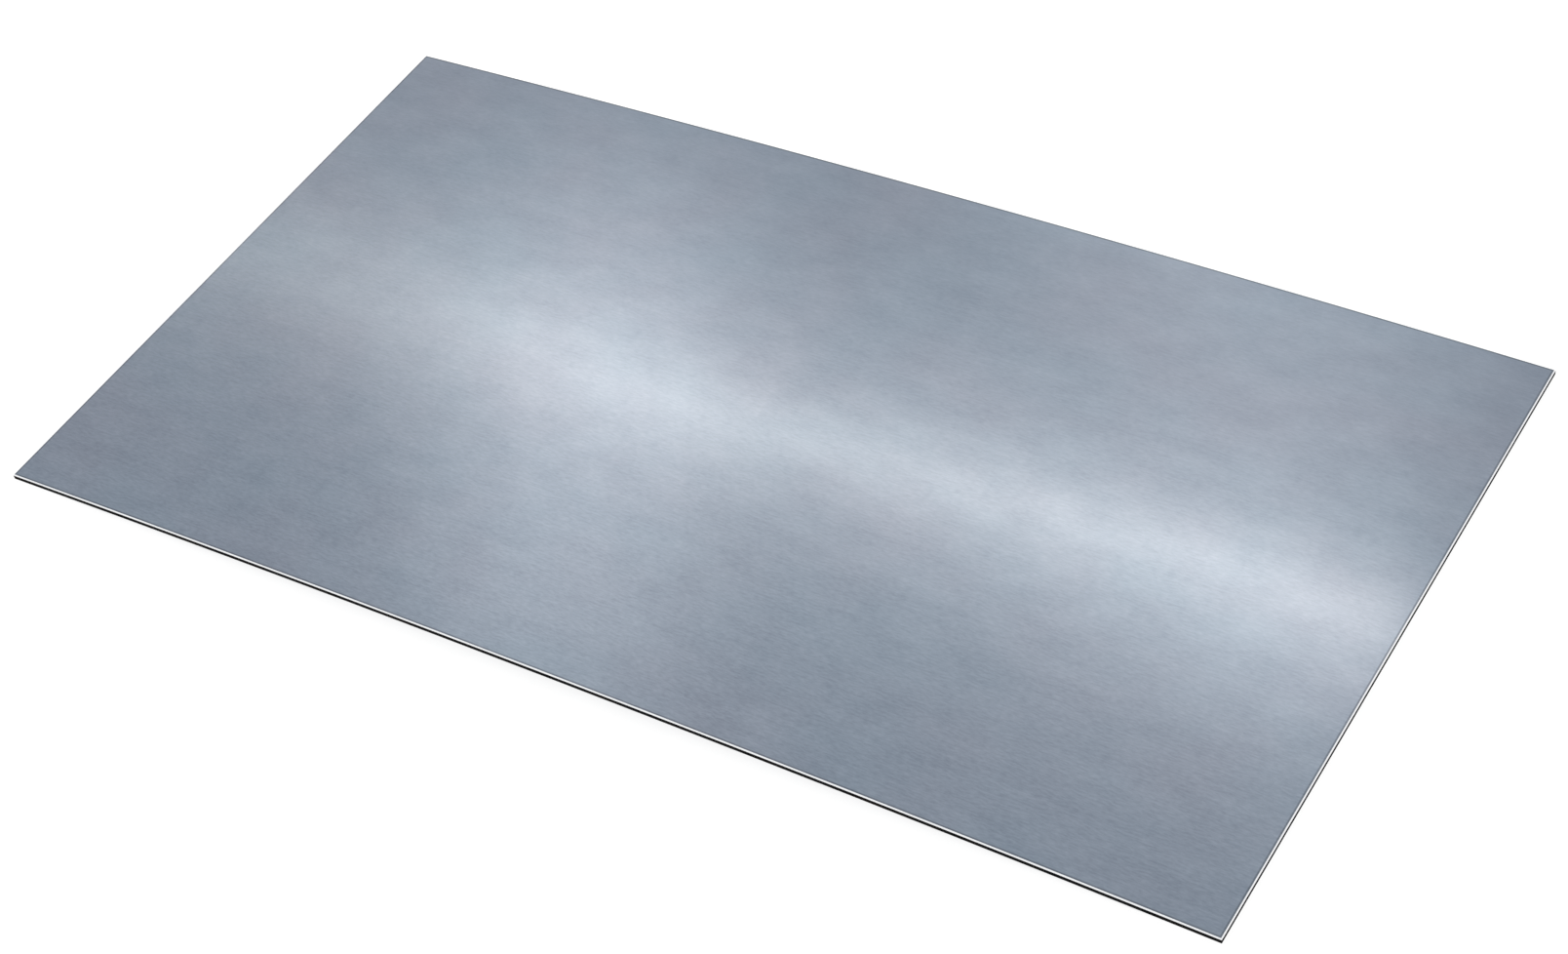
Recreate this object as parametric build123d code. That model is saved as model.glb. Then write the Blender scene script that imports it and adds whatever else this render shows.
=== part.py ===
"""Steel plate: one rectangular piece of rolled plate stock, cut square, with a slight lengthwise bow.

The plate lies crown up on its two short lower edges. X runs along its length, which is also the
rolling and brushing direction, Y across its width and Z up. The origin is on the floor under its
middle.
"""
import math
import os

from build123d import *

# Driving dimensions, in millimetres.
plate_length = 1000.0      # between the lower edges of the two ends
plate_width = 540.0
plate_thickness = 5.0
bow_height = 7.3           # the middle of the plate stands this far above its ends
arris_break = 0.8          # width of the 45 degree break on every edge of the two broad faces

NODE_NAME = "steel_plate"
PARTS_FOLDER = "parts"


def end_slope(chord, height):
    """Angle in radians at which an arc of this chord and height meets its chord."""
    return 2 * math.atan(2 * height / chord)


def bowed_section(chord, height, thickness):
    """Long section of the plate: two concentric arcs, joined by ends that are square to the sheet."""
    slope = end_slope(chord, height)
    foot = Vector(chord / 2, 0)
    shoulder = foot + Vector(math.sin(slope), math.cos(slope)) * thickness
    left_foot = Vector(-foot.X, foot.Y)
    left_shoulder = Vector(-shoulder.X, shoulder.Y)
    outline = [
        ThreePointArc(left_foot, Vector(0, height), foot),
        Line(foot, shoulder),
        ThreePointArc(shoulder, Vector(0, height + thickness), left_shoulder),
        Line(left_shoulder, left_foot),
    ]
    return make_face(outline)


def break_arrises(plate, size):
    """Take the sharp edge off both broad faces all round, with mitred corners."""
    broad_faces = plate.faces().filter_by(GeomType.CYLINDER)
    return chamfer(broad_faces.edges(), size)


def stand_on_floor(plate):
    """Set the lowest point of the plate on the floor, Z = 0."""
    return Pos(0, 0, -plate.bounding_box().min.Z) * plate


def make_plate():
    """The whole plate as one solid."""
    section = Plane.XZ * bowed_section(plate_length, bow_height, plate_thickness)
    blank = extrude(section, amount=plate_width / 2, both=True)
    return stand_on_floor(break_arrises(blank, arris_break))


steel_plate = make_plate()
steel_plate.label = NODE_NAME

size = steel_plate.bounding_box().size
print(f"plate {size.X:.2f} x {size.Y:.2f} x {size.Z:.2f} mm over all")
print(f"ends slope by {math.degrees(end_slope(plate_length, bow_height)):.2f} degrees")

os.makedirs(PARTS_FOLDER, exist_ok=True)
export_step(steel_plate, os.path.join(PARTS_FOLDER, NODE_NAME + ".step"))
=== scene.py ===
# %% [markdown]
# # A bowed plate of brushed steel
#
# The object is one piece of rolled plate stock: a rectangle one metre long, brushed along its
# length, cut square, and very slightly arched. Almost everything the eye gets from it comes from
# three finishes that meet along thin lines: the brushed face, the broken arris, painted near white as
# a highlight, and the cut side, painted near black as shade. The imported model comes first, because
# it fixes the size and the place of everything.

# %% Load the imported model
import math

import bmesh
import bpy
from mathutils import Matrix, Vector


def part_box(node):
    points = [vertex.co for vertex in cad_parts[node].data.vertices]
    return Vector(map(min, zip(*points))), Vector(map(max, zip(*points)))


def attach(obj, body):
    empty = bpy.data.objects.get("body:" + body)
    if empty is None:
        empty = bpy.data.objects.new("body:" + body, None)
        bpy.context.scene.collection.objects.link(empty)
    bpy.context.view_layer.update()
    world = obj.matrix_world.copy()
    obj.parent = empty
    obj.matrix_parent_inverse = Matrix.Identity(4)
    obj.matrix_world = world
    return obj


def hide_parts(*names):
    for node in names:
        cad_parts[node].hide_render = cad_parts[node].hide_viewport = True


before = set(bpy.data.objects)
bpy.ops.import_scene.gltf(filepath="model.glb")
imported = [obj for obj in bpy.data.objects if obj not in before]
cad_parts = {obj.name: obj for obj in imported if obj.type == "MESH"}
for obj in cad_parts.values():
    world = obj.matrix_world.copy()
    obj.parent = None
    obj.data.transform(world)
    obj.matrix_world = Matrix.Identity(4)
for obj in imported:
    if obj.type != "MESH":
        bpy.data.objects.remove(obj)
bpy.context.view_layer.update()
PLATE_NODE = "steel_plate"
plate_low, plate_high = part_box(PLATE_NODE)
print("plate box in metres:", [round(v, 4) for v in plate_high - plate_low])

# %% [markdown]
# Colours are written as sRGB hex, as a picture editor shows them. Shaders want linear light, so one
# function turns the first into the second. One more function adds a shader node together with its
# settings and its links, which keeps each material to a few readable lines. Nodes such as Mix hold
# several sockets of one name and use only some of them, so it takes the first one in use.

# %% Helpers for colours and shader nodes
MM = 0.001
COLOUR_MIX = {"data_type": "RGBA"}


def linear(hex_colour):
    """Linear RGBA of an sRGB colour such as "#8c95a0"."""
    channels = [int(hex_colour[i:i + 2], 16) / 255 for i in (1, 3, 5)]
    return [c / 12.92 if c <= 0.04045 else ((c + 0.055) / 1.055) ** 2.4 for c in channels] + [1.0]


def add_node(tree, kind, settings=None, **sockets):
    """Add a node with its properties and its inputs: each a value, an output, or a node to link."""
    node = tree.nodes.new(kind)
    for name, value in (settings or {}).items():
        setattr(node, name, value)
    for name, value in sockets.items():
        names = (name, name.replace("_", " "))
        matches = [s for s in node.inputs if s.enabled and (s.name in names or s.identifier in names)]
        if isinstance(value, bpy.types.Node):
            value = next(s for s in value.outputs if s.enabled)
        if isinstance(value, bpy.types.NodeSocket):
            tree.links.new(value, matches[0])
        else:
            matches[0].default_value = value
    return node


def new_material(name):
    """An empty node material and its tree."""
    material = bpy.data.materials.new(name)
    material.use_nodes = True
    material.node_tree.nodes.clear()
    return material, material.node_tree


# %% [markdown]
# ## The camera
#
# The photograph looks down on the plate from its right front corner with a short telephoto lens, and
# the camera is rolled, so the plate seems to slide down to the right. Those angles could be found by
# eye, but a plate is a known rectangle, so they were solved from its four edges, which also gives the
# bow. The camera is built from its direction and its roll about the line of sight.

# %% Camera
PHOTO_WIDTH_PX = 1608
LENS_PX = 3169.9
SENSOR_MM = 36.0
CAMERA_AZIMUTH = math.radians(39.412)
CAMERA_ELEVATION = math.radians(44.717)
CAMERA_ROLL = math.radians(-11.578)
CAMERA_TARGET = Vector((0.046, -0.0388, 0.005))
CAMERA_DISTANCE = 2.2094


def place_camera():
    """The photograph's camera: it looks at a point near the plate's middle, rolled about its view."""
    back = Vector((math.sin(CAMERA_AZIMUTH) * math.cos(CAMERA_ELEVATION),
                   -math.cos(CAMERA_AZIMUTH) * math.cos(CAMERA_ELEVATION),
                   math.sin(CAMERA_ELEVATION)))
    level_right = Vector((0, 0, 1)).cross(back).normalized()
    level_up = back.cross(level_right)
    right = math.cos(CAMERA_ROLL) * level_right + math.sin(CAMERA_ROLL) * level_up
    up = back.cross(right)
    data = bpy.data.cameras.new("photo_camera")
    data.sensor_width = SENSOR_MM
    data.lens = LENS_PX / PHOTO_WIDTH_PX * SENSOR_MM
    camera = bpy.data.objects.new("photo_camera", data)
    bpy.context.scene.collection.objects.link(camera)
    turn = Matrix((right, up, back)).transposed().to_4x4()
    camera.matrix_world = Matrix.Translation(CAMERA_TARGET + back * CAMERA_DISTANCE) @ turn
    bpy.context.scene.camera = camera
    print("camera lens in mm:", round(data.lens, 1))


place_camera()

# %% [markdown]
# ## The plate's shape
#
# A plate that comes off the mill and is cut to size keeps a little of the coil's curve: it lies like
# a very flat bridge, 7 mm high in the middle. The CAD solid has this arch too, but in a few long flat
# facets, and a metal face shows every facet in its reflections. So the visible plate is made again at
# the same size with a fine mesh: a box, its arrises broken with a bevel, cut into short strips, and
# then every point is carried from the flat sheet to the arch. Bending last is the real order of
# events, and it leaves the flat positions free to serve as the UV map, so the brushing follows the
# sheet.

# %% Plate sizes and the arch
PLATE_LENGTH = 1000 * MM
PLATE_WIDTH = plate_high.y - plate_low.y
PLATE_THICKNESS = 5 * MM
BOW_HEIGHT = 7.3 * MM
ARRIS_BREAK = 0.8 * MM
STRIP = 8 * MM

END_SLOPE = 2 * math.atan(2 * BOW_HEIGHT / PLATE_LENGTH)
BOW_RADIUS = PLATE_LENGTH / (2 * math.sin(END_SLOPE))
SHEET_LENGTH = 2 * BOW_RADIUS * END_SLOPE


def on_arch(flat):
    """Carry a point of the flat sheet, whose underside is at z = 0, to its place on the arch."""
    angle = flat.x / BOW_RADIUS
    reach = BOW_RADIUS + flat.z
    return Vector((reach * math.sin(angle), flat.y, reach * math.cos(angle) - BOW_RADIUS + BOW_HEIGHT))


print("end slope in degrees:", round(math.degrees(END_SLOPE), 3), "radius in m:", round(BOW_RADIUS, 2))

# %% [markdown]
# The box starts flat. Its eight long and short face edges are the arrises, which the grinder has
# taken off at 45 degrees, so they get a bevel of one segment. The four upright corner edges stay as
# cut, and the bevels meet there in a mitre, as the photograph shows at the near corner. The bisect
# operator then cuts the whole mesh with a row of planes, which leaves even strips and touches nothing
# else.

# %% Plate mesh
FACE_SLOT, ARRIS_SLOT, SIDE_SLOT = range(3)
ALONG, ACROSS = 0, 1
LEVEL_TOLERANCE = 1e-6
CUT_TOLERANCE = 1e-7
FACING_UP = 0.5


def flat_box(bm):
    """The flat sheet, with its underside at z = 0."""
    size = Matrix.Diagonal((SHEET_LENGTH, PLATE_WIDTH, PLATE_THICKNESS, 1))
    bmesh.ops.create_cube(bm, size=1, matrix=Matrix.Translation((0, 0, PLATE_THICKNESS / 2)) @ size)


def break_arrises(bm):
    """Bevel the edges of both broad faces and give the new faces the arris slot."""
    arrises = [e for e in bm.edges if abs((e.verts[0].co - e.verts[1].co).z) < LEVEL_TOLERANCE]
    for face in bm.faces:
        face.material_index = FACE_SLOT if abs(face.normal.z) > FACING_UP else SIDE_SLOT
    made = bmesh.ops.bevel(bm, geom=arrises, offset=ARRIS_BREAK, offset_type="OFFSET",
                           segments=1, profile=0.5, affect="EDGES", material=-1)
    for face in made["faces"]:
        face.material_index = ARRIS_SLOT


def cut_strips(bm, axis, extent):
    """Cut the mesh with evenly spaced planes across one axis."""
    count = round(extent / STRIP)
    for i in range(1, count):
        place = Vector((0, 0, 0))
        place[axis] = (i / count - 0.5) * extent
        normal = Vector((0, 0, 0))
        normal[axis] = 1
        everything = bm.verts[:] + bm.edges[:] + bm.faces[:]
        bmesh.ops.bisect_plane(bm, geom=everything, plane_co=place, plane_no=normal,
                               dist=CUT_TOLERANCE)


def make_plate():
    """The visible plate: bevelled, cut into strips, mapped flat and laid on its arch."""
    bm = bmesh.new()
    flat_box(bm)
    break_arrises(bm)
    cut_strips(bm, ALONG, SHEET_LENGTH)
    cut_strips(bm, ACROSS, PLATE_WIDTH)
    sheet_map = bm.loops.layers.uv.new("sheet")
    for face in bm.faces:
        face.smooth = True
        for loop in face.loops:
            loop[sheet_map].uv = loop.vert.co.xy
    for vert in bm.verts:
        vert.co = on_arch(vert.co)
    lift = Vector((0, 0, -min(v.co.z for v in bm.verts)))
    bmesh.ops.translate(bm, verts=bm.verts, vec=lift)
    bmesh.ops.recalc_face_normals(bm, faces=bm.faces)
    mesh = bpy.data.meshes.new("brushed_plate")
    bm.to_mesh(mesh)
    bm.free()
    return bpy.data.objects.new("brushed_plate", mesh)


plate = make_plate()
bpy.context.scene.collection.objects.link(plate)
print("plate mesh:", len(plate.data.polygons), "faces")

# %% [markdown]
# Smooth shading alone would drag the broad face's normals round the bevel, and the rim would look
# swollen. The edges where one finish meets another, and the mitre lines, are marked sharp, so each
# surface keeps its own normals, and only the slight bend of the arch is shaded smooth. The object
# then rides on the part's only body and stands for the CAD plate.

# %% Sharp lines and body
MITRE_ANGLE = math.radians(40)


def mark_sharp_lines(mesh):
    """Sharp edges where two finishes meet and where the surface turns by more than the arch does."""
    bm = bmesh.new()
    bm.from_mesh(mesh)
    count = 0
    for edge in bm.edges:
        first, second = edge.link_faces
        if first.material_index != second.material_index or edge.calc_face_angle() > MITRE_ANGLE:
            edge.smooth = False
            count += 1
    bm.to_mesh(mesh)
    bm.free()
    return count


print("sharp edges:", mark_sharp_lines(plate.data))
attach(plate, "root")
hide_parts(PLATE_NODE)

# %% [markdown]
# ## Brushed steel face
#
# The broad faces are mild steel dressed with an abrasive belt that ran along the plate. Such a finish
# is thousands of shallow scratches, each a few millimetres to a few centimetres long and well under a
# millimetre wide, which overlap and fade. The eye gets four things from them: fine lines along the
# length, highlights with soft edges, a slightly cloudy tone where the belt pressed harder, and a
# breath of warmer and cooler grey. A photo of metal could be wrapped on instead, but noise stretched
# along the sheet repeats nowhere and stays true at any distance. Real scratches would be too fine to
# show from here, so these are drawn 1.4 mm wide, as coarse as they need to be. The roughness of 0.28,
# with the lamps below, gives the glows their soft edges. The renderer's noise filter takes a metal
# smoother than about 0.27 for a mirror, and then smears the fine lines inside a glow.

# %% Brushed steel sizes and colours
# length along the sheet, width across it, detail and roughness of the noise
SCRATCHES = (6.5 * MM, 1.4 * MM, 2.0, 0.7)
STREAKS = (60 * MM, 3 * MM, 1.0, 0.5)
CLOUDS = (46.8 * MM, 26 * MM, 4.0, 0.65)
TINTS = (132 * MM, 110 * MM, 5.0, 0.5)
# the part of a noise's range over which one tone turns into the other
WIDE_RANGE = (0.25, 0.75)
NARROW_RANGE = (0.3, 0.7)
SCRATCH_DEPTH = 0.002 * MM
STEEL_COLOUR = "#7c8592"
STEEL_DARK_LINE, STEEL_LIGHT_LINE = "#5b6673", "#9ca6b3"
STEEL_DULL_CLOUD, STEEL_PALE_CLOUD = "#6f7987", "#8993a0"
STEEL_COOL_TINT, STEEL_WARM_TINT = "#758897", "#828290"
NEAR_LINES, FAR_LINES = 0.51, 0.25
STREAK_SHARE = 0.2
CLOUD_SHARE = 0.38
TINT_SHARE = 0.16
FACE_ROUGHNESS = 0.283
ROUGHNESS_CHANGE = 0.007


def drawn_out_noise(tree, place, length, width, detail, roughness):
    """Noise that is as long along the sheet and as wide across it as a mark of the belt."""
    scaled = add_node(tree, "ShaderNodeMapping", Vector=place, Scale=(1 / length, 1 / width, 1))
    return add_node(tree, "ShaderNodeTexNoise", {"noise_dimensions": "2D"}, Vector=scaled, Scale=1.0,
                    Detail=detail, Roughness=roughness)


def two_tones(tree, pattern, over, dark, light):
    """Colour a pattern: the dark tone below its range, the light tone above it."""
    share = add_node(tree, "ShaderNodeMapRange", Value=pattern, From_Min=over[0], From_Max=over[1])
    return add_node(tree, "ShaderNodeMix", COLOUR_MIX, Factor=share, A=linear(dark), B=linear(light))


# %% [markdown]
# A fine dark line of painted shade runs just inside each edge of the face, where it meets the
# arris. The UV map is the flat sheet in metres, so the distance to the nearest border comes from it
# with a little arithmetic.

# %% The painted shade line inside the edges
# painted shade: how wide the dark line inside each edge is, and how dark
SHADE_LINE_WIDTH = 1.5 * MM
SHADE_LINE_TONE = 0.62
SHADE_LINE_FADE_START = 0.7


def border_distance(tree, across):
    """How far a point of the flat sheet lies from its nearest border, in metres."""
    gaps = []
    for axis, extent in (("X", SHEET_LENGTH), ("Y", PLATE_WIDTH)):
        off_centre = add_node(tree, "ShaderNodeMath", {"operation": "ABSOLUTE"}, Value=across.outputs[axis])
        gaps.append(add_node(tree, "ShaderNodeMath", {"operation": "SUBTRACT"}, Value=extent / 2,
                             Value_001=off_centre))
    return add_node(tree, "ShaderNodeMath", {"operation": "MINIMUM"}, Value=gaps[0], Value_001=gaps[1])


def painted_shade_line(tree, colour, across):
    """The same colour with painted shade: darker in a thin line just inside the arris."""
    tone = add_node(tree, "ShaderNodeMapRange", Value=border_distance(tree, across),
                    From_Min=ARRIS_BREAK + SHADE_LINE_WIDTH * SHADE_LINE_FADE_START, From_Max=ARRIS_BREAK + SHADE_LINE_WIDTH,
                    To_Min=SHADE_LINE_TONE, To_Max=1.0)
    return add_node(tree, "ShaderNodeMix", {"data_type": "RGBA", "blend_type": "MULTIPLY"}, Factor=1.0,
                    A=colour, B=tone)


# %% [markdown]
# The tone is built in layers, from fine to broad: short scratches and long streaks, clouds, tints,
# and the rim last. The belt bit a little deeper along the near side, where the photograph shows
# crisper lines, so the share of the lines falls off across the sheet. The relief is only a few
# thousandths of a millimetre, enough to break up the glow of a lamp without making it lumpy.

# %% Brushed steel material
def brushed_steel():
    """Mild steel, belt brushed: to the eye, blue-grey metal with soft glows and fine lines."""
    material, tree = new_material("belt_brushed_mild_steel")
    place = add_node(tree, "ShaderNodeUVMap", {"uv_map": "sheet"})
    across = add_node(tree, "ShaderNodeSeparateXYZ", Vector=place)
    scratches, streaks, clouds, tints = [
        drawn_out_noise(tree, place, *mark) for mark in (SCRATCHES, STREAKS, CLOUDS, TINTS)]

    fine_lines = two_tones(tree, scratches, WIDE_RANGE, STEEL_DARK_LINE, STEEL_LIGHT_LINE)
    long_lines = two_tones(tree, streaks, NARROW_RANGE, STEEL_DARK_LINE, STEEL_LIGHT_LINE)
    lines = add_node(tree, "ShaderNodeMix", COLOUR_MIX, Factor=STREAK_SHARE, A=fine_lines, B=long_lines)
    bite = add_node(tree, "ShaderNodeMapRange", Value=across.outputs["Y"], From_Min=-PLATE_WIDTH / 2,
                    From_Max=PLATE_WIDTH / 2, To_Min=NEAR_LINES, To_Max=FAR_LINES)
    lined = add_node(tree, "ShaderNodeMix", COLOUR_MIX, Factor=bite, A=linear(STEEL_COLOUR), B=lines)
    cloud_tones = two_tones(tree, clouds, WIDE_RANGE, STEEL_DULL_CLOUD, STEEL_PALE_CLOUD)
    clouded = add_node(tree, "ShaderNodeMix", COLOUR_MIX, Factor=CLOUD_SHARE, A=lined, B=cloud_tones)
    tint_tones = two_tones(tree, tints, NARROW_RANGE, STEEL_COOL_TINT, STEEL_WARM_TINT)
    tinted = add_node(tree, "ShaderNodeMix", COLOUR_MIX, Factor=TINT_SHARE, A=clouded, B=tint_tones)

    roughness = add_node(tree, "ShaderNodeMapRange", Value=streaks,
                         From_Min=NARROW_RANGE[0], From_Max=NARROW_RANGE[1],
                         To_Min=FACE_ROUGHNESS - ROUGHNESS_CHANGE, To_Max=FACE_ROUGHNESS + ROUGHNESS_CHANGE)
    relief = add_node(tree, "ShaderNodeBump", Strength=1.0, Distance=SCRATCH_DEPTH, Height=scratches)
    shader = add_node(tree, "ShaderNodeBsdfPrincipled", Base_Color=painted_shade_line(tree, tinted, across),
                      Metallic=1.0, Roughness=roughness, Normal=relief)
    add_node(tree, "ShaderNodeOutputMaterial", Surface=shader)
    return material


# %% [markdown]
# ## Ground arris and cut side
#
# Breaking the arris with a grinder leaves a bare, bright line; the near white it gets here is a
# painted highlight. The sides under it were cut hot and kept a dark, faintly brown oxide film of the
# cut, with fine lines that run down through the thickness; their near black, with hardly any shine,
# is mostly painted shade. One material with a mask could draw both, but they meet on a sharp edge of
# the mesh, so two plain materials on two slots are simpler and stay crisp. The contrast between the
# two is what draws the plate's outline.

# %% Arris and side materials
# The arris colour is a painted highlight: near white, far brighter than the same steel on the face.
ARRIS_HIGHLIGHT_COLOUR = "#f3f4f6"
ARRIS_ROUGHNESS = (0.32, 0.42)
GRIND_MARK, GRIND_DETAIL = 6 * MM, 2.0
# The sides' near black is mostly painted shade over a faintly warm oxide film; the low shine keeps them
# from showing their white surroundings.
OXIDE_AND_SHADE_COLOUR, OXIDE_AND_SHADE_WARM = "#0a0b0e", "#15100e"
SIDE_PATCH, SIDE_PATCH_DETAIL = 30 * MM, 2.0
SIDE_PATCH_RANGE = (0.4, 0.7)
OXIDE_ROUGHNESS, SIDE_SHINE = 0.55, 0.02
CUT_LINE_PITCH, CUT_LINE_LENGTH = 1.2 * MM, 20 * MM
CUT_LINE_DEPTH, CUT_LINE_DETAIL = 0.03 * MM, 1.5


def ground_arris():
    """Ground steel, its near white a painted highlight: a bright thread of light round the face."""
    material, tree = new_material("ground_steel_painted_highlight")
    place = add_node(tree, "ShaderNodeTexCoord").outputs["Object"]
    marks = add_node(tree, "ShaderNodeTexNoise", Vector=place, Scale=1 / GRIND_MARK,
                     Detail=GRIND_DETAIL)
    roughness = add_node(tree, "ShaderNodeMapRange", Value=marks,
                         From_Min=NARROW_RANGE[0], From_Max=NARROW_RANGE[1],
                         To_Min=ARRIS_ROUGHNESS[0], To_Max=ARRIS_ROUGHNESS[1])
    # its near-white base colour is the painted highlight
    shader = add_node(tree, "ShaderNodeBsdfPrincipled", Base_Color=linear(ARRIS_HIGHLIGHT_COLOUR),
                      Metallic=1.0, Roughness=roughness)
    add_node(tree, "ShaderNodeOutputMaterial", Surface=shader)
    return material


def cut_side():
    """Hot cut, oxide film and painted shade: to the eye, a matt near-black band with fine upright lines."""
    material, tree = new_material("hot_cut_oxide_and_painted_shade")
    place = add_node(tree, "ShaderNodeTexCoord").outputs["Object"]
    upright = add_node(tree, "ShaderNodeMapping", Vector=place,
                       Scale=(1 / CUT_LINE_PITCH, 1 / CUT_LINE_PITCH, 1 / CUT_LINE_LENGTH))
    lines = add_node(tree, "ShaderNodeTexNoise", Vector=upright, Scale=1.0,
                     Detail=CUT_LINE_DETAIL)
    side_patches = add_node(tree, "ShaderNodeTexNoise", Vector=place, Scale=1 / SIDE_PATCH,
                    Detail=SIDE_PATCH_DETAIL)
    # painted shade: near black, with faintly warm oxide patches
    oxide_and_shade = two_tones(tree, side_patches, SIDE_PATCH_RANGE, OXIDE_AND_SHADE_COLOUR, OXIDE_AND_SHADE_WARM)
    relief = add_node(tree, "ShaderNodeBump", Strength=1.0, Distance=CUT_LINE_DEPTH, Height=lines)
    shader = add_node(tree, "ShaderNodeBsdfPrincipled", Base_Color=oxide_and_shade, Normal=relief,
                      Roughness=OXIDE_ROUGHNESS, Specular_IOR_Level=SIDE_SHINE)
    add_node(tree, "ShaderNodeOutputMaterial", Surface=shader)
    return material


for finish in (brushed_steel(), ground_arris(), cut_side()):
    plate.data.materials.append(finish)
print("finishes:", [m.name for m in plate.data.materials])

# %% [markdown]
# ## Floor and surroundings
#
# The photograph is cut out on plain white. More light on a pale floor would give that ground too, but
# it would wash out the plate, so the floor and the sky are lifted to white only for the rays that look
# straight at them: the light path tells those from the rays that light the scene. The metal's own
# rays get the same lift, because steel shows its surroundings. The floor is a mid grey underneath, so
# the plate's shadow still darkens it a little.

# %% Floor and world
FLOOR_SIZE = 40.0
FLOOR_COLOUR = "#949494"
FLOOR_LIFT = 0.82
SKY_LIGHT = 0.8


def seen_directly(tree):
    """1 for rays that show the surroundings as such: camera, glossy and transmission rays."""
    path = add_node(tree, "ShaderNodeLightPath")
    shiny = add_node(tree, "ShaderNodeMath", {"operation": "MAXIMUM"}, Value=path.outputs["Is Glossy Ray"],
                     Value_001=path.outputs["Is Transmission Ray"])
    return add_node(tree, "ShaderNodeMath", {"operation": "MAXIMUM"}, Value=path.outputs["Is Camera Ray"],
                    Value_001=shiny)


def white_floor():
    """Matt floor paint, lifted to white where the camera or the metal sees it."""
    material, tree = new_material("matt_floor_paint")
    paint = add_node(tree, "ShaderNodeBsdfDiffuse", Color=linear(FLOOR_COLOUR))
    strength = add_node(tree, "ShaderNodeMath", {"operation": "MULTIPLY"}, Value=seen_directly(tree),
                        Value_001=FLOOR_LIFT)
    glow = add_node(tree, "ShaderNodeEmission", Strength=strength)
    both = add_node(tree, "ShaderNodeAddShader", Shader=paint, Shader_001=glow)
    add_node(tree, "ShaderNodeOutputMaterial", Surface=both)
    bm = bmesh.new()
    bmesh.ops.create_grid(bm, x_segments=1, y_segments=1, size=FLOOR_SIZE / 2)
    mesh = bpy.data.meshes.new("floor")
    bm.to_mesh(mesh)
    bm.free()
    mesh.materials.append(material)
    floor = bpy.data.objects.new("floor", mesh)
    bpy.context.scene.collection.objects.link(floor)


def white_sky():
    """A white world: full white where it is seen, a little less as light."""
    world = bpy.data.worlds.new("white_studio")
    world.use_nodes = True
    tree = world.node_tree
    tree.nodes.clear()
    strength = add_node(tree, "ShaderNodeMapRange", Value=seen_directly(tree), To_Min=SKY_LIGHT,
                        To_Max=1.0)
    sky = add_node(tree, "ShaderNodeBackground", Color=linear("#ffffff"), Strength=strength)
    add_node(tree, "ShaderNodeOutputWorld", Surface=sky)
    bpy.context.scene.world = world


white_floor()
white_sky()
print("floor in metres:", FLOOR_SIZE, "sky as light:", SKY_LIGHT)

# %% [markdown]
# ## Lamps
#
# A brushed face shows each lamp as a soft glow, so the glows in the photograph say where its lamps
# were. It has a long narrow one just behind the middle line, brightest towards the right end, and a
# wider, weaker one that crosses it from the far left to the near middle. Two thin tubes in a row, hung
# low, draw the narrow core. A long box over them gives its halo, a box turned across them the second
# glow, and a large box behind a faint lift towards the far edge. Their light is slightly warm, the
# tubes' a little more than the boxes', because the glows are a less blue grey than the calm steel.
# Brightness is given against a white of 1: at brightness 1, a lamp sends out pi watts for each square
# metre of its face.

# %% Lamps
WARM_LIGHT = "#fff0db"
PLAIN_LIGHT = "#fbf3e7"
LAMPS = [
    # name, colour, place in m, yaw and pitch in degrees, length and width in m, brightness
    ("right_tube", WARM_LIGHT, (0.155, 0.146, 0.199), 0.2, -2.0, (0.578, 0.02), 4.39),
    ("left_tube", WARM_LIGHT, (-0.893, 0.365, 0.446), -14.9, -14.2, (1.564, 0.02), 6.62),
    ("long_box", PLAIN_LIGHT, (-0.654, 0.763, 0.98), -21.1, -22.2, (2.412, 0.171), 2.08),
    ("cross_box", PLAIN_LIGHT, (-0.738, 0.584, 0.812), 121.7, 14.7, (1.128, 0.266), 1.05),
    ("back_box", PLAIN_LIGHT, (-0.457, 1.592, 1.264), 53.2, -34.4, (0.377, 1.252), 0.966),
]


def hang_lamp(name, colour, place, yaw, pitch, size, brightness):
    """An area lamp facing down, turned by yaw and tipped by pitch along its length."""
    data = bpy.data.lights.new(name, "AREA")
    data.shape = "RECTANGLE"
    data.size, data.size_y = size
    data.color = linear(colour)[:3]
    data.energy = brightness * math.pi * size[0] * size[1]
    lamp = bpy.data.objects.new(name, data)
    bpy.context.scene.collection.objects.link(lamp)
    turn = Matrix.Rotation(math.radians(yaw), 4, "Z") @ Matrix.Rotation(-math.radians(pitch), 4, "Y")
    lamp.matrix_world = Matrix.Translation(place) @ turn
    lamp.visible_camera = False
    print("lamp", name, "power in W:", round(data.energy, 2))


for lamp in LAMPS:
    hang_lamp(*lamp)

# %% Finish
scene = bpy.context.scene
scene.view_settings.view_transform = "Standard"
